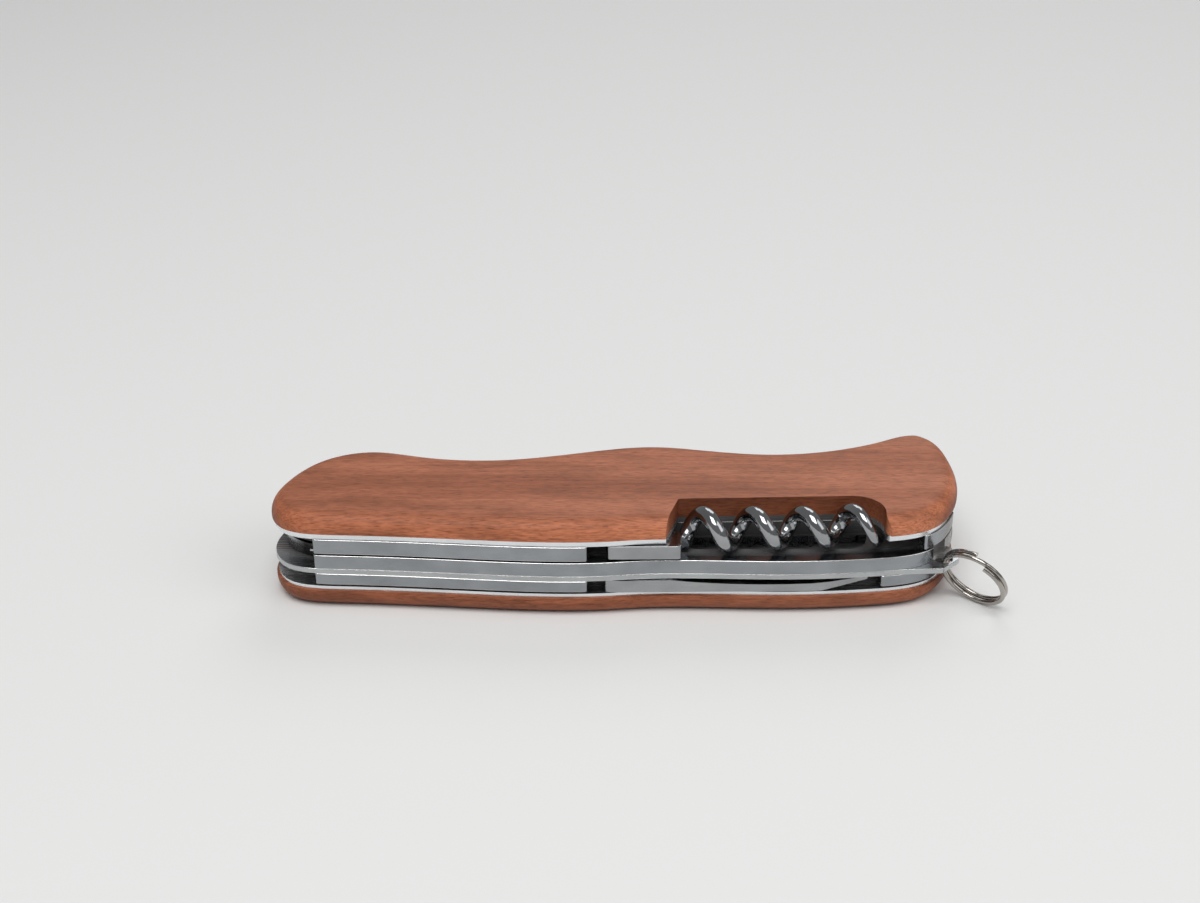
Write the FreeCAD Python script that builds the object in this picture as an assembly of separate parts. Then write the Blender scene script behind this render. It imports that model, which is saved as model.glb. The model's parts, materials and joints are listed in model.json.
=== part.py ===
import FreeCAD, Part
import math
import os

V = FreeCAD.Vector

# Plan outline of the handle, tail and key ring towards +X, back springs towards -Y
OUTLINE = [
    (0, -16.7), (24, -16.55), (40, -15.6), (48.6, -13), (52.7, -7.8), (55.2, 1.5),
    (55.1, 8.5), (53.7, 14.1), (51.0, 16.5), (47.8, 16.2), (44.2, 14.3), (35, 10.5), (25, 9.2), (14, 10.8),
    (6, 12.05), (-5, 10.3), (-20, 7.1), (-33, 8.3), (-41.2, 10.1), (-49.2, 7.2),
    (-54.4, -0.3), (-55.65, -7.6), (-53.3, -12.5), (-44, -14.85), (-24, -16.3),
]

# Layer thicknesses, counted up from the table
SCALE_T = 3.25
REAR_LINER_T = 0.7
OPENER_LAYER = 2.3
RING_PLATE_T = 0.9
SAW_LAYER = 2.4
THIN_PLATE_T = 0.3
BLADE_LAYER = 2.5
LOCK_LINER_T = 1.0

Z_REAR_LINER = SCALE_T
Z_OPENER = Z_REAR_LINER + REAR_LINER_T
Z_RING_PLATE = Z_OPENER + OPENER_LAYER
Z_SAW = Z_RING_PLATE + RING_PLATE_T
Z_THIN_PLATE = Z_SAW + SAW_LAYER
Z_BLADE = Z_THIN_PLATE + THIN_PLATE_T
Z_LOCK_LINER = Z_BLADE + BLADE_LAYER
Z_FRONT = Z_LOCK_LINER + LOCK_LINER_T

# Named clearances
SIDE_GAP = 0.1
RUN_FIT = 0.05
LEAF_GAP = 0.25
LEAF_ROOT_GAP = 0.02
WASHER_GAP = 0.04
OPENER_GAP = 0.4
BAY_END_GAP = 0.45
AWL_END_GAP = 0.7

# Scales and liners
SCALE_EDGE_R = 2.75
LINER_INSET = 0.35
INSET_POINTS = 64
RING_PLATE_INSET = 0.15
THIN_PLATE_INSET = 1.4
SPRING_INSET = 0.1
EDGE_BREAK = 0.12
POST_R = 0.4
POST_SIDE_Y = -12.0

# Pins and their collars
PIN_R = 1.2
COLLAR_R = 2.2
COLLAR_T = 1.0
BLADE_PIVOT = (-46.5, -3.2)
TAIL_PIVOT = (46.0, -1.0)
BACK_PIVOT = (0.3, -14.0)
SPRING_PIN = (-14.0, -13.9)
PINS = [BLADE_PIVOT, TAIL_PIVOT, BACK_PIVOT, SPRING_PIN]

# Tools
TANG_R = 7.8
TAIL_TANG_R = 7.0
BACK_TANG_R = 2.6
TANG_GAP = 0.15
BLADE_T = 1.8
LOCK_BOSS_R = (5.0, 7.6)
LOCK_BOSS_START = -124
LOCK_BOSS_SWEEP = 74
LOCK_BOSS_H = 0.5
LEAF_ROOT_X = -8.0
NICK_DEPTH = 0.35
BLADE_TIP_X = 40.3
SAW_TIP_GAP = 0.7
SAW_START_X = -33.0
SAW_PITCH = 2.4
SAW_TOOTH = 1.4
AWL_TIP_X = 40.2
AWL_HOLLOW = 0.85

# Springs begin here, leaving the tangs open at the head of the handle
SPRING_HEAD_X = -48.3
NOTCH_X = (-5.3, -2.2)

# Corkscrew
WORM_Y = -13.35
WORM_Z = 13.45
WORM_LEAN = 2.4
WORM_PITCH = 7.85
WORM_WIRE_R = 1.28
WORM_R = 2.5
WORM_START_X = 9.5
WORM_TURNS = 3.3
WORM_TIP_TURNS = 0.76
WORM_TIP_R = 0.6
CORK_TANG_END = 9.4

# Key ring and its eye
EYE = (51.35, -11.2)
EYE_R = 1.55
SAW_EYE_CUT_R = 2.1
OPENER_EYE_CUT_R = 2.6
RING_HANG = (0.25, -0.15)
RING_R = 5.3
RING_WIRE_R = 0.4
RING_PITCH = 0.84
RING_TURNS = 1.94
RING_NORMAL = (0.562, 0.7, 0.44)
RING_SEAM = 95
RING_DROP = 1.2


def rounded(points):
    """Closed wire round corner points given as x, y and corner radius."""
    count = len(points)
    corners = []
    for i, (x, y, radius) in enumerate(points):
        p = V(x, y, 0)
        if radius == 0:
            corners.append((p, None, p))
            continue
        before = points[i - 1]
        after = points[(i + 1) % count]
        u = (V(before[0], before[1], 0) - p).normalize()
        w = (V(after[0], after[1], 0) - p).normalize()
        half = u.getAngle(w) / 2
        reach = radius / math.tan(half)
        middle = p + (u + w).normalize() * (radius / math.sin(half) - radius)
        corners.append((p + u * reach, middle, p + w * reach))
    edges = []
    for i, (start, middle, end) in enumerate(corners):
        if middle is not None:
            edges.append(Part.Arc(start, middle, end).toShape())
        following = corners[(i + 1) % count][0]
        if (following - end).Length > 1e-6:
            edges.append(Part.makeLine(end, following))
    return Part.Wire(edges)


def plate(points, z, height):
    """Flat plate with the given corner points, from z upwards."""
    face = Part.Face(rounded(points))
    face.translate(V(0, 0, z))
    return face.extrude(V(0, 0, height))


def disc(centre, radius, z, height):
    """Upright cylinder."""
    return Part.makeCylinder(radius, height, V(centre[0], centre[1], z))


def handle_curve(inset):
    """Handle outline as one smooth closed curve, drawn in by the inset."""
    curve = Part.BSplineCurve()
    curve.interpolate([V(x, y, 0) for x, y in OUTLINE], PeriodicFlag=True)
    if inset == 0:
        return curve
    points = []
    step = (curve.LastParameter - curve.FirstParameter) / INSET_POINTS
    for i in range(INSET_POINTS):
        at = curve.FirstParameter + i * step
        along = curve.tangent(at)[0]
        points.append(curve.value(at) + V(-along.y, along.x, 0) * inset)
    inner = Part.BSplineCurve()
    inner.interpolate(points, PeriodicFlag=True)
    return inner


def slab(inset, z, height):
    """Plate with the handle outline, from z upwards."""
    face = Part.Face(Part.Wire(handle_curve(inset).toShape()))
    face.translate(V(0, 0, z))
    return face.extrude(V(0, 0, height))


def prism(profile, direction):
    """Solid swept straight from a closed list of 3-D corner points."""
    corners = [V(*p) for p in profile]
    return Part.Face(Part.makePolygon(corners + corners[:1])).extrude(V(*direction))


def pin_holes(pins, radius, z, height):
    """Cylinders to cut for a set of pins."""
    return [disc(p, radius, z, height) for p in pins]


def eased(body):
    """Flat body with the rims of its lower and upper face slightly rounded."""
    rims = [edge for edge in body.Edges if edge.BoundBox.ZLength < 0.001]
    return body.makeFillet(EDGE_BREAK, rims)


def bay_end():
    """X of the bay's far wall, just past the worm's point."""
    return WORM_START_X + WORM_PITCH * (WORM_TURNS + WORM_TIP_TURNS) + BAY_END_GAP


def cork_bay(z, height):
    """Open bay for the worm in the front scale and the lock liner."""
    end = bay_end()
    corners = [
        (6.5, -19, 0), (6.8, -16.4, 0), (9.1, -8.75, 0.5), (end - 0.3, -7.6, 4.6),
        (end - 0.5, -14.5, 2), (end + 2.2, -17.2, 0), (end + 2.2, -19, 0),
    ]
    return plate(corners, z, height)


def leaf_corners(gap):
    """Lock leaf in plan, grown by a gap at its sides and tip."""
    return [
        (-43.4 - gap, 1.0 - gap, 0), (-42.0 - gap, 2.95 + gap, 0.4), (-38.5, 5.2 + gap, 3),
        (LEAF_ROOT_X, 5.6 + gap, 0), (LEAF_ROOT_X, 1.6 - gap, 0), (-38.5, 0.4 - gap, 3),
    ]


def scale(z, outer_z):
    """Wooden scale with its outer rim rounded and pockets for the collars."""
    body = slab(0, z, SCALE_T)
    rim = [e for e in body.Edges if abs(e.BoundBox.ZMin - outer_z) + abs(e.BoundBox.ZMax - outer_z) < 0.01]
    return body.makeFillet(SCALE_EDGE_R, rim)


def collar_z():
    """Lower faces of the two collar levels."""
    return [Z_REAR_LINER - COLLAR_T, Z_FRONT]


def rear_scale():
    pockets = pin_holes(PINS, COLLAR_R, collar_z()[0], COLLAR_T)
    return scale(0, 0).cut(pockets)


def front_scale():
    body = scale(Z_FRONT, Z_FRONT + SCALE_T)
    pockets = pin_holes(PINS, COLLAR_R, collar_z()[1], COLLAR_T)
    return body.cut(pockets + [cork_bay(Z_FRONT - 1, SCALE_T + 2)])


def rear_liner():
    body = slab(LINER_INSET, Z_REAR_LINER, REAR_LINER_T)
    return body.cut(pin_holes(PINS, PIN_R, Z_REAR_LINER, REAR_LINER_T))


def lock_liner():
    body = slab(LINER_INSET, Z_LOCK_LINER, LOCK_LINER_T)
    cuts = pin_holes(PINS, PIN_R, Z_LOCK_LINER, LOCK_LINER_T)
    cuts.append(cork_bay(Z_LOCK_LINER - 1, LOCK_LINER_T + 2))
    cuts.append(plate(leaf_corners(LEAF_GAP), Z_LOCK_LINER - 1, LOCK_LINER_T + 2))
    return body.cut(cuts)


def lock_leaf():
    body = plate(leaf_corners(0), Z_LOCK_LINER, LOCK_LINER_T)
    root = Part.makeBox(1, 20, 4, V(LEAF_ROOT_X - LEAF_ROOT_GAP, -5, Z_LOCK_LINER - 1))
    return body.cut(root)


def ring_divider():
    body = slab(RING_PLATE_INSET, Z_RING_PLATE, RING_PLATE_T)
    offsets = [(-9.35, -3.7, 0), (-0.55, -3.25, 0.8), (2.75, 0.1, 1.0), (1.95, 3.8, 0), (-6.15, 5.8, 0)]
    tab = [(EYE[0] + x, EYE[1] + y, radius) for x, y, radius in offsets]
    body = eased(body.fuse(plate(tab, Z_RING_PLATE, RING_PLATE_T)).removeSplitter())
    cuts = pin_holes(PINS, PIN_R, Z_RING_PLATE, RING_PLATE_T)
    cuts.append(disc(EYE, EYE_R, Z_RING_PLATE, RING_PLATE_T))
    return body.cut(cuts)


def thin_divider():
    body = slab(THIN_PLATE_INSET, Z_THIN_PLATE, THIN_PLATE_T)
    cuts = pin_holes([BLADE_PIVOT, TAIL_PIVOT, SPRING_PIN], PIN_R, Z_THIN_PLATE, THIN_PLATE_T)
    head = [(-60, -20, 0), (-49, -20, 0), (-49, 20, 0), (-60, 20, 0)]
    end = bay_end() + 5.7
    bay = [
        (-6, -20, 0), (-6, -10.8, 0.5), (8.2, -10.8, 0.5), (8.4, -8.8, 0.5),
        (end, -7.6, 0.5), (end, -20, 0),
    ]
    for corners in (head, bay):
        cuts.append(plate(corners, Z_THIN_PLATE - 1, THIN_PLATE_T + 2))
    return body.cut(cuts)


def spring(corners, z, height, pins, ends):
    """Back spring between its inner edge and the handle outline, rounded where it ends at the outline."""
    body = slab(SPRING_INSET, z, height).common(plate(corners, z, height))
    posts = []
    for edge in body.Edges:
        box = edge.BoundBox
        at_end = any(abs(box.XMin - x) + abs(box.XMax - x) < 0.01 for x in ends)
        if at_end and box.ZLength > height / 2 and box.YMax < POST_SIDE_Y:
            posts.append(edge)
    body = eased(body.makeFillet(POST_R, posts))
    cuts = pin_holes(pins, PIN_R, z, height)
    cuts.append(disc(BLADE_PIVOT, TANG_R + TANG_GAP, z, height))
    return body.cut(cuts)


def blade_spring():
    end = bay_end() + 5.8
    corners = [
        (SPRING_HEAD_X, -20, 0), (SPRING_HEAD_X, -10.6, 0), (-22, -10.2, 8), (-9, -6.6, 8),
        (38, -5.6, 6), (42, 3.4, 3), (50, 3.4, 3), (54, -6, 0), (54, -20, 0),
        (end, -20, 0), (end, -7.6, 1.5), (8.4, -8.8, 0.8), (8.2, -10.9, 0.5),
        (NOTCH_X[0], -10.9, 0.8), (NOTCH_X[0], -20, 0),
    ]
    ends = [SPRING_HEAD_X, NOTCH_X[0], end]
    return spring(corners, Z_BLADE, BLADE_LAYER, [TAIL_PIVOT, SPRING_PIN], ends)


def saw_spring():
    corners = [
        (SPRING_HEAD_X, -20, 0), (SPRING_HEAD_X, -10.6, 0), (-22, -10.4, 8), (5, -10.8, 4),
        (12, -12.4, 4), (38.5, -12.2, 3), (42, 3.4, 3), (50, 3.4, 3), (54, -6, 0), (54, -20, 0),
    ]
    body = spring(corners, Z_SAW, SAW_LAYER, [TAIL_PIVOT, SPRING_PIN, BACK_PIVOT], [SPRING_HEAD_X])
    return body.cut(disc(EYE, SAW_EYE_CUT_R, Z_SAW, SAW_LAYER))


def opener_spring():
    end = AWL_TIP_X + AWL_END_GAP
    corners = [
        (SPRING_HEAD_X, -20, 0), (SPRING_HEAD_X, -10.6, 0), (-22, -10.4, 8), (-9, -8.2, 8),
        (53, -8.8, 0), (53, -20, 0), (end, -20, 0), (end, -11.0, 0.8),
        (NOTCH_X[0], -11.0, 0.8), (NOTCH_X[0], -20, 0),
    ]
    ends = [SPRING_HEAD_X, NOTCH_X[0], end]
    body = spring(corners, Z_OPENER + OPENER_GAP, OPENER_LAYER - OPENER_GAP, [SPRING_PIN], ends)
    tang = disc(TAIL_PIVOT, TAIL_TANG_R + TANG_GAP, Z_OPENER, OPENER_LAYER)
    return body.cut([tang, disc(EYE, OPENER_EYE_CUT_R, Z_OPENER, OPENER_LAYER)])


def pin(centre):
    """Riveted pin through the stack, ending flush with its collars."""
    bottom, top = collar_z()
    return disc(centre, PIN_R, bottom, top + COLLAR_T - bottom)


def rivet_collars():
    rings = []
    for centre in PINS:
        for z in collar_z():
            rings.append(disc(centre, COLLAR_R, z, COLLAR_T).cut(disc(centre, PIN_R, z, COLLAR_T)))
    return Part.makeCompound(rings)


def blade_washer():
    z = Z_BLADE + SIDE_GAP + BLADE_T + WASHER_GAP
    height = Z_LOCK_LINER - z
    return disc(BLADE_PIVOT, 3.6, z, height).cut(disc(BLADE_PIVOT, PIN_R, z, height))


def tool(corners, pivot, tang_r, z, height):
    """Folding tool: a round tang joined to a flat body, bored for its pin."""
    body = plate(corners, z, height).fuse(disc(pivot, tang_r, z, height)).removeSplitter()
    return body.cut(disc(pivot, PIN_R + RUN_FIT, z, height))


def nail_nick(x, y, z):
    """Half-moon groove for a thumbnail."""
    return Part.makeCylinder(9, 1.2, V(x, y, z + 9 - NICK_DEPTH), V(0, 1, 0))


def grind(y_full, y_edge, x0, x1, z, height, edge):
    """Two wedges that thin a tool towards its edge."""
    wedges = []
    run = 1.6 * (y_edge - y_full)
    fall = 1.6 * (height - edge) / 2
    for face_z, sign in ((z, 1), (z + height, -1)):
        thin_z = face_z + sign * fall
        profile = [(x0, y_full, face_z), (x0, y_full + run, thin_z), (x0, y_full + run, face_z)]
        wedges.append(prism(profile, (x1 - x0, 0, 0)))
    return wedges


def point_taper(x_full, x_tip, z, height, edge):
    """Two wedges that thin a tool towards its point."""
    wedges = []
    run = 1.2 * (x_tip - x_full)
    fall = 1.2 * (height - edge) / 2
    for face_z, sign in ((z, 1), (z + height, -1)):
        thin_z = face_z + sign * fall
        profile = [(x_full, -30, face_z), (x_full + run, -30, thin_z), (x_full + run, -30, face_z)]
        wedges.append(prism(profile, (0, 60, 0)))
    return wedges


def main_blade():
    z = Z_BLADE + SIDE_GAP
    corners = [
        (-46.5, -3.2, 0), (-42.5, -8.6, 0), (-37.5, -5.6, 1), (22, -5.3, 70),
        (BLADE_TIP_X, 3.0, 0.4), (20, 8.3, 90), (-39, 8.3, 3), (-43.6, 5.6, 0.5),
    ]
    body = tool(corners, BLADE_PIVOT, TANG_R, z, BLADE_T)
    cuts = grind(-1.0, -5.4, -36.5, 45, z, BLADE_T, 0.2)
    cuts += point_taper(12, BLADE_TIP_X, z, BLADE_T, 0.3)
    cuts.append(nail_nick(-10, 5.6, z + BLADE_T))
    body = body.cut(cuts)
    top = z + BLADE_T
    boss = Part.makeCylinder(LOCK_BOSS_R[1], LOCK_BOSS_H, V(0, 0, top), V(0, 0, 1), LOCK_BOSS_SWEEP)
    boss = boss.cut(Part.makeCylinder(LOCK_BOSS_R[0], LOCK_BOSS_H, V(0, 0, top)))
    boss.rotate(V(0, 0, 0), V(0, 0, 1), LOCK_BOSS_START)
    boss.translate(V(BLADE_PIVOT[0], BLADE_PIVOT[1], 0))
    return body.fuse(boss)


def wood_saw():
    z = Z_SAW + SIDE_GAP
    height = SAW_LAYER - 2 * SIDE_GAP
    valley = -6.2
    tip = BLADE_TIP_X - SAW_TIP_GAP
    teeth = int((tip - SAW_START_X) / SAW_PITCH) - 2
    corners = [(-46.5, -3.2, 0), (-42.5, -8.6, 0), (-36, valley, 1)]
    for i in range(teeth):
        x = SAW_START_X + i * SAW_PITCH
        corners += [(x, valley, 0), (x + SAW_PITCH / 2, valley - SAW_TOOTH, 0)]
    corners += [
        (SAW_START_X + teeth * SAW_PITCH, valley, 0), (tip - 1.0, -5.6, 1), (tip, 3.0, 2), (33, 7.7, 4),
        (-39, 7.7, 3), (-43.6, 5.6, 0.5),
    ]
    body = tool(corners, BLADE_PIVOT, TANG_R, z, height)
    return body.cut(nail_nick(-24, 4.9, z + height))


def can_opener():
    z = Z_OPENER + SIDE_GAP
    height = OPENER_LAYER - 2 * SIDE_GAP
    corners = [
        (-46.5, -3.2, 0), (-42.5, -8.6, 0), (-37, -7.4, 4), (-17, -6.2, 1), (-13, -2.2, 1),
        (-4, -2.0, 0.6), (-4, 1.4, 0.6), (-12, 3.2, 4), (-18, 7.4, 5), (-39, 7.6, 3), (-43.6, 5.6, 0.5),
    ]
    body = tool(corners, BLADE_PIVOT, TANG_R, z, height)
    return body.cut([disc((-20.5, -6.6), 2.4, z, height), nail_nick(-29, 4.9, z + height)])


def bottle_opener():
    z = Z_OPENER + SIDE_GAP
    height = OPENER_LAYER - 2 * SIDE_GAP
    corners = [
        (46, -1.0, 0), (43, 5.2, 0.5), (38, 6.4, 3), (8, 6.4, 3), (0.4, 3.2, 0.6),
        (0.4, -3.6, 0.6), (10, -5.8, 2), (38, -7.2, 3), (43, -7.2, 0),
    ]
    body = tool(corners, TAIL_PIVOT, TAIL_TANG_R, z, height)
    return body.cut([disc((17, -6.4), 3.1, z, height), nail_nick(27, 3.6, z + height)])


def awl():
    z = Z_OPENER + SIDE_GAP
    height = OPENER_LAYER - 2 * SIDE_GAP
    corners = [
        (NOTCH_X[1] - 0.4, -16.4, 0.5), (0, -16.6, 0), (31, -16.1, 25), (AWL_TIP_X, -14.5, 0.2),
        (20, -12.2, 30), (6, -11.8, 4), (0.3, -12.5, 0), (NOTCH_X[1] - 0.4, -13.6, 0.5),
    ]
    body = tool(corners, BACK_PIVOT, BACK_TANG_R, z, height)
    half = AWL_TIP_X / 2 - 4
    radius = (half * half + AWL_HOLLOW * AWL_HOLLOW) / (2 * AWL_HOLLOW)
    middle = V(AWL_TIP_X - half, -30, z + height - AWL_HOLLOW + radius)
    hollow = Part.makeCylinder(radius, 30, middle, V(0, 1, 0))
    under = [(AWL_TIP_X - 8.6, -30, z), (AWL_TIP_X + 1, -30, z + 1.85), (AWL_TIP_X + 1, -30, z)]
    return body.cut([hollow, prism(under, (0, 30, 0))])


def helix_tube(turns, start_r, end_r, start_angle, start_height):
    """Tube wound right-handed on the worm's axis, which lies along local Z."""
    spine = Part.makeLongHelix(WORM_PITCH, WORM_PITCH * turns, WORM_R)
    slope = math.atan2(WORM_PITCH, 2 * math.pi * WORM_R)
    shell = Part.BRepOffsetAPI.MakePipeShell(Part.Wire(spine))
    shell.setFrenetMode(True)
    for turn, radius in ((0, start_r), (turns, end_r)):
        angle = 2 * math.pi * turn
        at = V(WORM_R * math.cos(angle), WORM_R * math.sin(angle), WORM_PITCH * turn)
        along = V(-math.sin(angle) * math.cos(slope), math.cos(angle) * math.cos(slope), math.sin(slope))
        shell.add(Part.Wire(Part.makeCircle(radius, at, along)))
        if start_r == end_r:
            break
    shell.build()
    shell.makeSolid()
    tube = shell.shape()
    tube.rotate(V(0, 0, 0), V(0, 0, 1), start_angle)
    tube.translate(V(0, 0, start_height))
    return tube


def corkscrew():
    worm = helix_tube(WORM_TURNS, WORM_WIRE_R, WORM_WIRE_R, -90, 0)
    reached = WORM_TURNS * WORM_PITCH
    tip = helix_tube(WORM_TIP_TURNS, WORM_WIRE_R, WORM_TIP_R, -90 + 360 * WORM_TURNS, reached)
    worm = worm.fuse(tip)
    lie = FreeCAD.Rotation(V(0, 1, 0), V(0, 0, 1), V(1, 0, 0), "ZXY")
    lean = FreeCAD.Rotation(V(0, 0, 1), WORM_LEAN)
    worm.Placement = FreeCAD.Placement(V(WORM_START_X, WORM_Y, WORM_Z), lean.multiply(lie))
    z = Z_BLADE + SIDE_GAP
    height = BLADE_LAYER - 2 * SIDE_GAP
    corners = [
        (NOTCH_X[1], -16.6, 0.5), (CORK_TANG_END, -16.5, 0.6), (CORK_TANG_END, -11.4, 0.6),
        (0.3, -11.45, 0), (NOTCH_X[1], -13.8, 0.5),
    ]
    return eased(tool(corners, BACK_PIVOT, BACK_TANG_R, z, height)).fuse(worm)


def key_ring():
    normal = V(*RING_NORMAL).normalize()
    level = V(EYE[0] + RING_HANG[0], EYE[1] + RING_HANG[1], Z_RING_PLATE + RING_PLATE_T / 2)
    rise = RING_DROP / RING_R
    across = (V(0, 0, 1) - normal * normal.z).normalize()
    side = across.cross(normal)
    climb = rise / across.z
    radial = across * climb - side * math.sqrt(1 - climb * climb)
    if radial.x > 0:
        radial = across * climb + side * math.sqrt(1 - climb * climb)
    centre = level - radial * RING_R
    spine = Part.makeLongHelix(RING_PITCH, RING_TURNS * RING_PITCH, RING_R)
    shell = Part.BRepOffsetAPI.MakePipeShell(Part.Wire(spine))
    shell.setFrenetMode(True)
    shell.add(Part.Wire(Part.makeCircle(RING_WIRE_R, V(RING_R, 0, 0), V(0, 1, 0))))
    shell.build()
    shell.makeSolid()
    ring = shell.shape()
    start = RING_SEAM + 180 * (2 - RING_TURNS)
    turned = (360 - start) / 360
    ring.translate(V(0, 0, -RING_PITCH * (turned + 0.5)))
    ring.rotate(V(0, 0, 0), V(0, 0, 1), start)
    hang = FreeCAD.Rotation(radial, normal.cross(radial), normal, "ZXY")
    ring.Placement = FreeCAD.Placement(centre, hang).multiply(ring.Placement)
    return ring


NODES = {
    "front_scale": front_scale,
    "rear_scale": rear_scale,
    "rear_liner": rear_liner,
    "lock_liner": lock_liner,
    "lock_leaf": lock_leaf,
    "ring_divider": ring_divider,
    "thin_divider": thin_divider,
    "blade_spring": blade_spring,
    "saw_spring": saw_spring,
    "opener_spring": opener_spring,
    "rivet_collars": rivet_collars,
    "blade_washer": blade_washer,
    "main_blade": main_blade,
    "wood_saw": wood_saw,
    "can_opener": can_opener,
    "bottle_opener": bottle_opener,
    "awl": awl,
    "corkscrew": corkscrew,
    "key_ring": key_ring,
}

PIN_NODES = {
    "blade_pivot": BLADE_PIVOT,
    "tail_pivot": TAIL_PIVOT,
    "back_tool_pin": BACK_PIVOT,
    "spring_pin": SPRING_PIN,
}

os.makedirs("parts", exist_ok=True)
for name, make in NODES.items():
    shape = make()
    print(name, "valid", shape.isValid(), "solids", len(shape.Solids), "volume", round(shape.Volume, 2))
    shape.exportStep("parts/" + name + ".step")
for name, centre in PIN_NODES.items():
    pin(centre).exportStep("parts/" + name + ".step")
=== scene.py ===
# %% [markdown]
# # A folding pocket knife in walnut and steel
# The knife lies closed on a table: two walnut scales over a stack of metal layers, a polished corkscrew in
# an open bay on the back, and a split ring at the tail. The shapes could be modelled here once more, but
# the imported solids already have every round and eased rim, so they are used as they are. This lesson gives
# them what solids lack: finishes, a floor, light and a camera.

# %% Load the frame
import json
import math

import bmesh
import bpy
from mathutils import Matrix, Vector


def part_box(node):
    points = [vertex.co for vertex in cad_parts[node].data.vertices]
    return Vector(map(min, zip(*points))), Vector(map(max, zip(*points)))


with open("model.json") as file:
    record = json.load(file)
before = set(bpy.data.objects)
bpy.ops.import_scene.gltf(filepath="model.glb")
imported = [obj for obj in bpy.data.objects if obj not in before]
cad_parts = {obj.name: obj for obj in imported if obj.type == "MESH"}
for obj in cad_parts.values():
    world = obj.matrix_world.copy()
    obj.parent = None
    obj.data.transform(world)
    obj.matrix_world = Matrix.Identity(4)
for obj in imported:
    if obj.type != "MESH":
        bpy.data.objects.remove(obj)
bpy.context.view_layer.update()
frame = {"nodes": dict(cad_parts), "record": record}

nodes = frame["nodes"]
slot_of_node = {s["node"]: s["material_slot"] for s in frame["record"]["subparts"]}
MM = 0.001
print("frame loaded with", len(nodes), "solids")

# %% [markdown]
# ## Starting a finish and its patterns
# Each finish on the knife is a small network of shader nodes that ends in one Principled shader. It could
# be wired by hand in the Shader Editor. Functions are used instead, because the same nodes return in every
# finish, and a function gives them a plain name. Patterns read Object coordinates, which are metres here,
# so a scale is a number of waves per metre, and a pattern turns with its tool.

# %% Materials and noise
def new_material(name, color, metallic, roughness):
    """Material with one Principled shader; returns it with its tree and shader."""
    mat = bpy.data.materials.new(name)
    mat.use_nodes = True
    tree = mat.node_tree
    shader = tree.nodes["Principled BSDF"]
    shader.inputs["Base Color"].default_value = (*color, 1)
    shader.inputs["Metallic"].default_value = metallic
    shader.inputs["Roughness"].default_value = roughness
    return mat, tree, shader


def stretched(tree, waves):
    """Object coordinates times a number of waves per axis, a tuple or a socket."""
    coords = tree.nodes.new("ShaderNodeTexCoord")
    mapping = tree.nodes.new("ShaderNodeMapping")
    if isinstance(waves, tuple):
        mapping.inputs["Scale"].default_value = waves
    else:
        tree.links.new(waves, mapping.inputs["Scale"])
    tree.links.new(coords.outputs["Object"], mapping.inputs["Vector"])
    return mapping.outputs["Vector"]


def noise(tree, waves, detail, distortion=0.0):
    """Noise value with its own number of waves per metre along each axis."""
    node = tree.nodes.new("ShaderNodeTexNoise")
    node.inputs["Scale"].default_value = 1
    node.inputs["Detail"].default_value = detail
    node.inputs["Distortion"].default_value = distortion
    tree.links.new(stretched(tree, waves), node.inputs["Vector"])
    return node.outputs["Fac"]


print("material and noise helpers ready")

# %% [markdown]
# ## From a pattern to colours and masks
# A noise pattern is only a grey value between 0 and 1. A Color Ramp turns it into the tones of a surface, a
# Mix node lays one tone over another, and a Map Range node makes a mask with a chosen start and end. Image
# textures could do the same, but node patterns need no unwrapping and stay sharp however near the camera
# is.

# %% Colours and masks
def ramp(tree, value, stops):
    """Colour ramp over a value; stops are (position, colour)."""
    node = tree.nodes.new("ShaderNodeValToRGB")
    band = node.color_ramp
    while len(band.elements) < len(stops):
        band.elements.new(0.5)
    for element, (position, color) in zip(band.elements, stops):
        element.position = position
        element.color = (*color, 1)
    tree.links.new(value, node.inputs["Fac"])
    return node.outputs["Color"]


def set_or_link(tree, socket, value):
    """A number goes on the socket itself, and another node's output is linked to it."""
    if isinstance(value, (int, float)):
        socket.default_value = value
    else:
        tree.links.new(value, socket)


def mix(tree, kind, factor, first, second):
    """Two colours mixed; the factor is a number or a socket, each colour a tuple or a socket."""
    node = tree.nodes.new("ShaderNodeMix")
    node.data_type = "RGBA"
    node.blend_type = kind
    set_or_link(tree, node.inputs["Factor"], factor)
    for socket, color in ((node.inputs[6], first), (node.inputs[7], second)):
        if isinstance(color, tuple):
            socket.default_value = (*color, 1)
        else:
            tree.links.new(color, socket)
    return node.outputs[2]


def spread(tree, value, from_low, from_high, low, high):
    """A value carried from one range onto another and held at its ends."""
    node = tree.nodes.new("ShaderNodeMapRange")
    node.inputs["From Min"].default_value = from_low
    node.inputs["From Max"].default_value = from_high
    set_or_link(tree, node.inputs["To Min"], low)
    set_or_link(tree, node.inputs["To Max"], high)
    tree.links.new(value, node.inputs["Value"])
    return node.outputs["Result"]


def arithmetic(tree, operation, first, second=0.0):
    """One Math node on two values, each a number or a socket."""
    node = tree.nodes.new("ShaderNodeMath")
    node.operation = operation
    set_or_link(tree, node.inputs[0], first)
    set_or_link(tree, node.inputs[1], second)
    return node.outputs["Value"]


print("colour and mask helpers ready")

# %% [markdown]
# ## Where a point is and how its surface faces
# Wear and painted shade depend on place: rims get rubbed, and what lies deep is painted dark as painted
# shade. Such masks could be painted by hand on each piece. Here they come from the point's own coordinates
# and from its normal, because the solids are eased along their rims, and a normal that leans shows exactly
# where.

# %% Place, facing and relief
def axis_value(tree, axis):
    """One object coordinate of the point."""
    coords = tree.nodes.new("ShaderNodeTexCoord")
    split = tree.nodes.new("ShaderNodeSeparateXYZ")
    tree.links.new(coords.outputs["Object"], split.inputs["Vector"])
    return split.outputs[axis]


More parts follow.
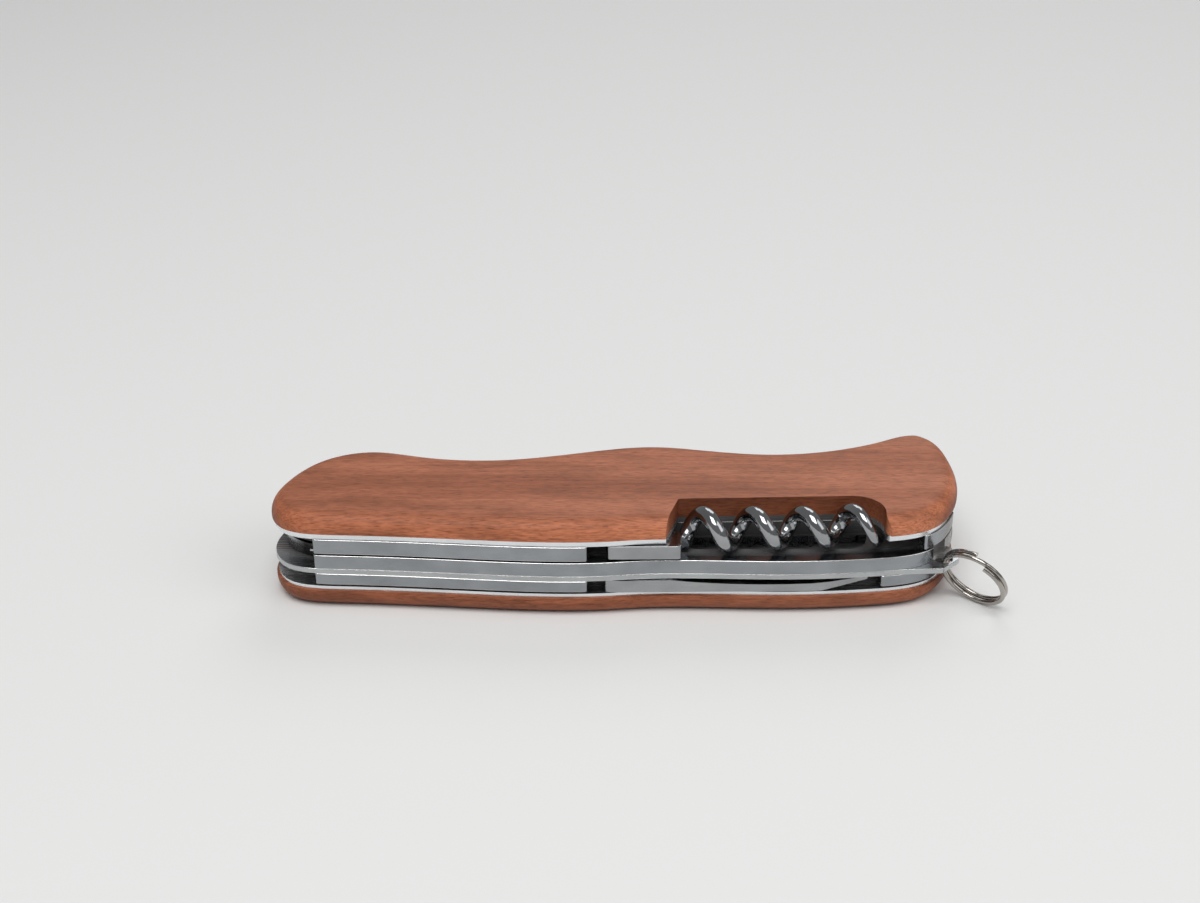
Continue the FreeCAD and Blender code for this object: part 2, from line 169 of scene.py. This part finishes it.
def level(tree):
    """How level the surface lies: 1 on a top or underside, 0 on an upright side."""
    split = tree.nodes.new("ShaderNodeSeparateXYZ")
    geometry = tree.nodes.new("ShaderNodeNewGeometry")
    tree.links.new(geometry.outputs["Normal"], split.inputs["Vector"])
    return arithmetic(tree, "ABSOLUTE", split.outputs["Z"])


def bump(tree, shader, height, strength, distance):
    """Bump from a height value onto the shader."""
    node = tree.nodes.new("ShaderNodeBump")
    node.inputs["Strength"].default_value = strength
    node.inputs["Distance"].default_value = distance
    tree.links.new(height, node.inputs["Height"])
    tree.links.new(node.outputs["Normal"], shader.inputs["Normal"])


print("place, facing and relief helpers ready")

# %% [markdown]
# ## How deep a point lies inside the handle
# Wood and metal are painted darker inside the handle: a painted shade for the shade that falls in the bay
# and between the layers, and on the metal some lint as well. An Ambient Occlusion node could find such
# places, but its answer would change whenever a tool opens. So the depth is measured from the nearer open
# side: the back edge, which curves in towards both ends, or the front.

# %% Depth inside the handle
BACK_Y = -16.7 * MM
FRONT_Y = 7.5 * MM
BACK_CURVE = 520
BACK_POWER = 4


def inside_depth(tree):
    """Depth behind the nearer open side of the handle, whose back edge curves with x."""
    y = axis_value(tree, "Y")
    bend = arithmetic(tree, "POWER", axis_value(tree, "X"), BACK_POWER)
    back_edge = arithmetic(tree, "ADD", arithmetic(tree, "MULTIPLY", bend, BACK_CURVE), BACK_Y)
    from_back = arithmetic(tree, "SUBTRACT", y, back_edge)
    from_front = arithmetic(tree, "SUBTRACT", FRONT_Y, y)
    return arithmetic(tree, "MINIMUM", from_back, from_front)


print("back edge at", round(BACK_Y / MM, 1), "mm, front line at", round(FRONT_Y / MM, 1), "mm")

# %% [markdown]
# ## The grain of the walnut
# The scales are oiled walnut with the grain along the handle: broad bands from the growth of the tree, a
# cloudy mottle, thin growth lines, fine fibres, and open pores like short dark dashes. A picture of wood
# could be wrapped round the scales, but it would smear over the rounded rims. Noise that is stretched along
# the handle runs through the solid, as real fibres do, and so it meets every rim in the right way.

# %% Grain
BAND_WAVES = (7, 75, 75)
MOTTLE_WAVES = (75, 230, 230)
GROWTH_WAVES = (10, 420, 420)
FIBRE_WAVES = (480, 4400, 4400)
PORE_WAVES = (620, 5200, 5200)
BAND_TONES = [(0.30, (0.310, 0.106, 0.054)), (0.50, (0.410, 0.150, 0.080)), (0.70, (0.470, 0.182, 0.101))]
MOTTLE_TONES = [(0.32, (0.80, 0.78, 0.77)), (0.60, (1.05, 1.04, 1.04))]
GROWTH_TONES = [(0.44, (1, 1, 1)), (0.50, (0.80, 0.76, 0.73)), (0.55, (1, 1, 1))]
FIBRE_TONES = [(0.32, (0.66, 0.63, 0.61)), (0.60, (1.14, 1.13, 1.12))]
PORE_TONES = [(0.30, (0.38, 0.30, 0.27)), (0.38, (1, 1, 1))]


def walnut_grain(tree):
    """Colour of the bare wood, with the mottle and fibre values that other parts of the finish reuse."""
    bands = noise(tree, BAND_WAVES, 3, 0.7)
    mottle = noise(tree, MOTTLE_WAVES, 4, 0.5)
    growth = noise(tree, GROWTH_WAVES, 2, 0.5)
    fibres = noise(tree, FIBRE_WAVES, 3)
    pores = noise(tree, PORE_WAVES, 1)
    color = ramp(tree, bands, BAND_TONES)
    color = mix(tree, "MULTIPLY", 1.0, color, ramp(tree, mottle, MOTTLE_TONES))
    color = mix(tree, "MULTIPLY", 0.8, color, ramp(tree, growth, GROWTH_TONES))
    color = mix(tree, "MULTIPLY", 0.9, color, ramp(tree, fibres, FIBRE_TONES))
    color = mix(tree, "MULTIPLY", 0.55, color, ramp(tree, pores, PORE_TONES))
    return color, mottle, fibres


fibre_length, fibre_width = (1 / waves / MM for waves in FIBRE_WAVES[:2])
print("fibres about", round(fibre_length, 1), "mm long and", round(fibre_width, 2), "mm wide")

# %% [markdown]
# ## Painted sheen on the rims, painted shade on the lower board and in the bay
# The rounded rims of both scales are painted lighter and redder than the flat faces: a painted sheen for the
# light they catch. The lower board is painted darker, a painted shade for its downward side, and so are the
# walls of the bay, a painted shade for the shade inside it. Each could be a material of its own, with a hard
# border. Masks from height, facing and depth are used, because a scale is one piece of wood, and its tones
# run into each other. The two flat faces lie equally far from the middle height, so one mask finds both
# rims.

# %% Shading of the scales
low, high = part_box("front_scale")
MIDDLE_Z = high[2] / 2
RIM_START = MIDDLE_Z - 0.45 * MM
RIM_END = MIDDLE_Z - 0.22 * MM
# Painted sheen: the rims are painted lighter and redder, for the light they catch.
RIM_TONES = [(0.30, (1.05, 1.01, 0.95)), (0.60, (1.20, 1.15, 1.08))]
# Painted shade: a darker lower board, and darker walls in the bay.
BOARD_BLEND = 1 * MM
BOARD_TONES = [(0, (0.66, 0.62, 0.60)), (1, (1, 1, 1))]
BAY_START = 0.8 * MM
BAY_END = 3 * MM
BAY_TONES = [(0, (1, 1, 1)), (1, (0.55, 0.50, 0.47))]


def painted_rim_light(tree, color, mottle):
    """Painted sheen: lighter, redder wood on the rims, away from the two flat faces."""
    from_middle = arithmetic(tree, "ABSOLUTE", arithmetic(tree, "SUBTRACT", axis_value(tree, "Z"), MIDDLE_Z))
    rim = spread(tree, from_middle, RIM_START, RIM_END, 1, 0)
    # Painted sheen on the rims.
    lit_rim_color = mix(tree, "MULTIPLY", 1.0, color, ramp(tree, mottle, RIM_TONES))
    return mix(tree, "MIX", rim, color, lit_rim_color)


def painted_board_and_bay_shade(tree, color):
    """Painted shade: a darker lower board, and darker upright walls inside the handle."""
    upper = spread(tree, axis_value(tree, "Z"), MIDDLE_Z - BOARD_BLEND, MIDDLE_Z + BOARD_BLEND, 0, 1)
    # Painted shade on the lower board.
    color = mix(tree, "MULTIPLY", 1.0, color, ramp(tree, upper, BOARD_TONES))
    # Painted shade on the upright walls deep in the bay.
    upright = spread(tree, level(tree), 0.2, 0.6, 1, 0)
    inside = spread(tree, inside_depth(tree), BAY_START, BAY_END, 0, 1)
    bay_wall = arithmetic(tree, "MULTIPLY", upright, inside)
    return mix(tree, "MULTIPLY", 1.0, color, ramp(tree, bay_wall, BAY_TONES))


print("rims measured from a middle height of", round(MIDDLE_Z / MM, 2), "mm")

# %% [markdown]
# ## The walnut material
# Oiled wood is neither glossy nor chalky: the fibres shine a little and the pores stay dull. One even
# roughness could be set, but it looks like plastic. Here the fibre pattern varies the roughness and lifts a
# very low relief, so light breaks along the grain.

# %% Walnut
FIBRE_RELIEF = 0.03 * MM


def walnut():
    """Oiled walnut for both scales."""
    mat, tree, shader = new_material("walnut", (0.34, 0.13, 0.08), 0, 0.5)
    color, mottle, fibres = walnut_grain(tree)
    color = painted_board_and_bay_shade(tree, painted_rim_light(tree, color, mottle))
    tree.links.new(color, shader.inputs["Base Color"])
    tree.links.new(spread(tree, fibres, 0.3, 0.7, 0.42, 0.60), shader.inputs["Roughness"])
    bump(tree, shader, fibres, 0.25, FIBRE_RELIEF)
    shader.inputs["Specular IOR Level"].default_value = 0.22
    return mat


materials = {"walnut": walnut()}
print("walnut has", len(materials["walnut"].node_tree.nodes), "nodes")

# %% [markdown]
# ## What all the metals share
# Every metal on the knife is rolled or ground along the handle, rubbed bright on its edges by the pocket,
# and painted darker inside the handle, partly lint and partly painted shade. Eight materials could each
# repeat these nodes. One node group holds them instead, with an input for whatever differs, so a change is
# made once. The pieces of the group come first: the mask for eased edges, which lean between level and
# upright, and the painted shade on a tang beside the head pin.

# %% Edges and painted tang shade
RUBBED = (0.92, 0.91, 0.89)
TANG_SHADE_START = (-53.0 * MM, -50.4 * MM)
TANG_SHADE_END = (-42 * MM, -38 * MM)


def eased_edges(tree):
    """Mask for the eased rims, whose normals lean."""
    lean = level(tree)
    off_side = spread(tree, lean, 0.2, 0.4, 0, 1)
    off_top = spread(tree, lean, 0.85, 0.97, 1, 0)
    return arithmetic(tree, "MULTIPLY", off_side, off_top)


def painted_tang_shade(tree):
    """Painted shade: where a closed tool's tang is darkened beside the head pin, next to the ends of the
    bars.
    """
    x = axis_value(tree, "X")
    # Painted shade: the tang is darkened where the ends of the closed bars shade it.
    after_end = spread(tree, x, TANG_SHADE_START[0], TANG_SHADE_START[1], 0, 1)
    before_blade = spread(tree, x, TANG_SHADE_END[0], TANG_SHADE_END[1], 1, 0)
    return arithmetic(tree, "MULTIPLY", after_end, before_blade)


# The tang's painted shade lies between these two places along the handle.
print("oil between", round(TANG_SHADE_START[0] / MM, 1), "and", round(TANG_SHADE_END[1] / MM, 1), "mm along the handle")

# %% [markdown]
# ## The metal's surface
# Brush lines are noise drawn out along the handle, and soft clouds make the polish uneven. Deeper in, a
# brown layer covers the metal, part lint and part painted shade, and deeper still it turns near black, a
# painted shade alone. It could be a darker metal colour, but lint doesn't mirror, so the group also puts
# out a Metal value that falls where the layer lies.

# %% Sockets and patterns of the group
# Painted shade inside the handle: brown for lint and shade near the open sides, near black deeper in.
GRIME_AND_SHADE_TONE = (0.130, 0.096, 0.080)
PAINTED_DEEP_SHADE = (0.024, 0.019, 0.016)
SHADE_DARKENS_DEPTHS = (3.5 * MM, 7.5 * MM)
GRIME_AND_SHADE_DEPTHS = (1.8 * MM, 4.5 * MM)
CLOUD_WAVES = (150, 240, 240)
BRUSH_WAVES_ALONG = 35


def metal_sockets(group):
    """Named inputs and outputs of the group."""
    face = group.interface
    for name in ("Bright", "Dull"):
        face.new_socket(name, in_out="INPUT", socket_type="NodeSocketColor")
    for name in ("Lines", "Smooth", "Rough", "Grime and Shade", "Edges", "Tang Shade"):
        face.new_socket(name, in_out="INPUT", socket_type="NodeSocketFloat")
    face.new_socket("Color", in_out="OUTPUT", socket_type="NodeSocketColor")
    for name in ("Roughness", "Metal", "Height"):
        face.new_socket(name, in_out="OUTPUT", socket_type="NodeSocketFloat")


def brush_lines(group, lines):
    """Noise with long waves along the handle, and as many across as the Lines input says."""
    waves = group.nodes.new("ShaderNodeCombineXYZ")
    waves.inputs["X"].default_value = BRUSH_WAVES_ALONG
    group.links.new(lines, waves.inputs["Y"])
    group.links.new(lines, waves.inputs["Z"])
    return noise(group, waves.outputs["Vector"], 3)


def polished(group, given):
    """Clean metal: uneven polish, bright rubbed edges, and painted shade on the tangs."""
    polish = spread(group, noise(group, CLOUD_WAVES, 3), 0.35, 0.62, 0, 1)
    color = mix(group, "MIX", polish, given["Dull"], given["Bright"])
    edges = arithmetic(group, "MULTIPLY", eased_edges(group), given["Edges"])
    color = mix(group, "MIX", edges, color, RUBBED)
    # Painted shade on the tang, in near black.
    tang_shade = arithmetic(group, "MULTIPLY", painted_tang_shade(group), given["Tang Shade"])
    return mix(group, "MIX", tang_shade, color, PAINTED_DEEP_SHADE)


# The brown layer of lint and painted shade begins at this depth.
print("film covers the metal from", round(GRIME_AND_SHADE_DEPTHS[0] / MM, 1), "mm deep")

# %% [markdown]
# ## Joining the group
# The last step wires the patterns to the outputs. The shader itself stays in each material, since only
# values that change over the surface belong in the group.

# %% Metal group
def worked_metal_group():
    """Group for worked metal: colour, roughness, how metallic it is, and relief."""
    group = bpy.data.node_groups.new("worked_metal", "ShaderNodeTree")
    metal_sockets(group)
    given = group.nodes.new("NodeGroupInput").outputs
    result = group.nodes.new("NodeGroupOutput").inputs
    brush = brush_lines(group, given["Lines"])
    depth = inside_depth(group)
    # Painted shade with some lint: darker and less metallic the deeper a point lies inside the handle.
    grime_and_shade = ramp(group, spread(group, depth, *SHADE_DARKENS_DEPTHS, 0, 1), [(0, GRIME_AND_SHADE_TONE), (1, PAINTED_DEEP_SHADE)])
    grime_and_shade_mask = arithmetic(group, "MULTIPLY", spread(group, depth, *GRIME_AND_SHADE_DEPTHS, 0, 1), given["Grime and Shade"])
    group.links.new(mix(group, "MIX", grime_and_shade_mask, polished(group, given), grime_and_shade), result["Color"])
    group.links.new(arithmetic(group, "SUBTRACT", 1, grime_and_shade_mask), result["Metal"])
    group.links.new(spread(group, brush, 0.3, 0.7, given["Smooth"], given["Rough"]), result["Roughness"])
    group.links.new(brush, result["Height"])
    return group


worked_metal = worked_metal_group()
print("group", worked_metal.name, "with", len(worked_metal.nodes), "nodes")

# %% [markdown]
# ## One function for a metal
# A metal needs its colour, how much duller its worn places are, the fineness of its brush lines, its
# smoothest and roughest gloss, and how much lint with painted shade, rubbed edge and painted tang shade it
# shows. Copying a finished material and changing it would do, but a function with named values shows at a
# glance how two metals differ.

# %% Metal material
BRUSH_RELIEF = 0.004 * MM


def metal(name, color, dull, lines, smooth, rough, relief, grime_and_shade_amount=0, edges=0, tang_shade=0):
    """Material with the shared group in front of its own shader."""
    mat, tree, shader = new_material(name, color, 1, (smooth + rough) / 2)
    work = tree.nodes.new("ShaderNodeGroup")
    work.node_tree = worked_metal
    work.inputs["Bright"].default_value = (*color, 1)
    work.inputs["Dull"].default_value = (*[c * dull for c in color], 1)
    settings = {"Lines": lines, "Smooth": smooth, "Rough": rough, "Grime and Shade": grime_and_shade_amount, "Edges": edges, "Tang Shade": tang_shade}
    for socket, value in settings.items():
        work.inputs[socket].default_value = value
    tree.links.new(work.outputs["Color"], shader.inputs["Base Color"])
    tree.links.new(work.outputs["Roughness"], shader.inputs["Roughness"])
    tree.links.new(work.outputs["Metal"], shader.inputs["Metallic"])
    bump(tree, shader, work.outputs["Height"], relief, BRUSH_RELIEF)
    materials[name] = mat


print("metals take their surface from", worked_metal.name)

# %% [markdown]
# ## Liners and dividers
# The liners are thin rolled sheet of a light alloy, and only their bright rims show beside the wood. The
# dividers between the layers are the same sheet, duller with handling. One finish could serve both, but in
# the stack it is this small step in tone that lets the eye count the layers.

# %% Sheet finishes
# Inside the handle these sheets are painted darker: partly lint, partly painted shade.
metal("liner_alloy", (0.84, 0.86, 0.88), dull=0.92, lines=2600, smooth=0.20, rough=0.32, relief=0.2,
      grime_and_shade_amount=0.88, edges=0.6)
metal("divider_alloy", (0.50, 0.52, 0.53), dull=0.88, lines=2600, smooth=0.20, rough=0.32, relief=0.2,
      grime_and_shade_amount=0.80, edges=0.9)
print("sheet finishes made, materials so far:", len(materials))

# %% [markdown]
# ## Springs and pins
# The three bars along the back are hardened springs, ground flush and polished, so they are darker and
# glossier than the sheet, with edges rubbed nearly white. Bright edges could be cut as thin strips of their
# own, but the group's mask finds them on the eased rims. The pins and collars are softer steel. They lie
# hidden, and a plain satin finish is all that they need.

# %% Spring and pin finishes
# Inside the handle the springs are painted darker too: partly lint, partly painted shade.
metal("spring_steel", (0.34, 0.36, 0.38), dull=0.84, lines=3000, smooth=0.16, rough=0.28, relief=0.2,
      grime_and_shade_amount=0.75, edges=0.9)
metal("pin_steel", (0.52, 0.52, 0.52), dull=0.85, lines=2000, smooth=0.25, rough=0.40, relief=0.2)
print("spring and pin finishes made, materials so far:", len(materials))

# %% [markdown]
# ## Blades and small tools
# The blade and the saw are ground with fine lines along their length, and the openers and the awl are
# polished a little more. The painted darkening inside the handle could cover them too, but it would show on
# an open blade. Only their tangs get a painted shade beside the hinge, which is why the tang shade and the
# darkening inside the handle are two inputs of the group.

# %% Blade and tool finishes
# The tangs of blades and tools get the painted tang shade beside the head pin.
metal("blade_steel", (0.42, 0.43, 0.45), dull=0.88, lines=3200, smooth=0.18, rough=0.32, relief=0.3,
      edges=0.3, tang_shade=0.9)
metal("tool_steel", (0.40, 0.41, 0.42), dull=0.84, lines=3200, smooth=0.16, rough=0.30, relief=0.3,
      edges=0.5, tang_shade=0.9)
print("blade and tool finishes made, materials so far:", len(materials))

# %% [markdown]
# ## Worm and ring
# The corkscrew's worm is the shiniest piece, and the key ring is bright wire with a warm tone. Both could
# be perfect mirrors, but then they show little besides the pale floor. A low roughness with faint lines
# keeps the highlights sharp and still gives the round wire some shade.

# %% Worm and ring finishes
metal("worm_steel", (0.38, 0.39, 0.40), dull=0.84, lines=1500, smooth=0.06, rough=0.13, relief=0.1)
metal("ring_steel", (0.44, 0.41, 0.38), dull=0.82, lines=1800, smooth=0.12, rough=0.22, relief=0.2)
print("worm and ring finishes made, materials so far:", len(materials))

# %% [markdown]
# ## Giving each piece its finish
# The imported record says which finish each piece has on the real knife. The materials could be assigned
# piece by piece, but reading the record keeps the dressed part and the record the same.

# %% Assign the finishes
for name, node in nodes.items():
    node.data.materials.clear()
    node.data.materials.append(materials[slot_of_node[name]])
print("finishes:", ", ".join(materials))

# %% [markdown]
# ## A pale floor
# The knife lies on a plain pale surface. A curved backdrop would hide the horizon, but this view looks down
# on the table, so a single large square is enough.

# %% Floor
FLOOR_HALF = 3

floor_bm = bmesh.new()
bmesh.ops.create_grid(floor_bm, x_segments=1, y_segments=1, size=FLOOR_HALF)
floor_mesh = bpy.data.meshes.new("floor")
floor_bm.to_mesh(floor_mesh)
floor_bm.free()
floor = bpy.data.objects.new("floor", floor_mesh)
bpy.context.collection.objects.link(floor)
floor_mat, floor_tree, floor_shader = new_material("floor_paper", (0.80, 0.80, 0.79), 0, 0.7)
floor_mesh.materials.append(floor_mat)
print("floor is", 2 * FLOOR_HALF, "m wide")

# %% [markdown]
# ## Soft light
# Metal shows what surrounds it, so large soft lamps suit it better than small hard ones, which would leave
# sparks on black. A key lamp stands above the camera, a fill on the right, and a third behind the knife for
# the far rims. A level grey world lights the shadows.

# %% Lamps and world
def lamp(name, energy, size, place, target=(0, 0, 0)):
    """Square area lamp at a place, turned towards its target."""
    data = bpy.data.lights.new(name, "AREA")
    data.energy = energy
    data.size = size
    obj = bpy.data.objects.new(name, data)
    obj.location = place
    obj.rotation_euler = (Vector(target) - Vector(place)).to_track_quat("-Z", "Y").to_euler()
    bpy.context.collection.objects.link(obj)


lamp("key", energy=9.0, size=0.8, place=(-0.12, -0.50, 1.05))
lamp("fill", energy=3.6, size=0.9, place=(0.95, -0.45, 0.85))
lamp("back", energy=3.6, size=0.8, place=(0.25, 1.10, 0.90), target=(0, 0.1, 0))
world = bpy.data.worlds.new("studio")
world.use_nodes = True
background = world.node_tree.nodes["Background"]
background.inputs["Color"].default_value = (0.88, 0.89, 0.90, 1)
background.inputs["Strength"].default_value = 0.28
bpy.context.scene.world = world
bpy.context.scene.view_settings.view_transform = "Standard"
print("lamps:", ", ".join(light.name for light in bpy.data.lights))

# %% [markdown]
# ## The camera
# The view looks down about 26 degrees on the back of the knife. A longer lens from further away would
# flatten the layers, and a shorter one would swell the near rim. This lens and place were chosen together,
# so that the length of the handle and the height of the stack both agree with the real view.

# %% Camera
LOOK_DOWN = 26
CAMERA_PLACE = (-3.3 * MM, -247.12 * MM, 141.16 * MM)

camera_data = bpy.data.cameras.new("photo_view")
camera_data.sensor_width = 36
camera_data.lens = 51
camera_data.clip_start = 0.01
camera = bpy.data.objects.new("photo_view", camera_data)
camera.location = CAMERA_PLACE
camera.rotation_euler = (math.radians(90 - LOOK_DOWN), 0, 0)
bpy.context.collection.objects.link(camera)
bpy.context.scene.camera = camera
print("camera", round(Vector(CAMERA_PLACE).length / MM), "mm from the middle of the handle")
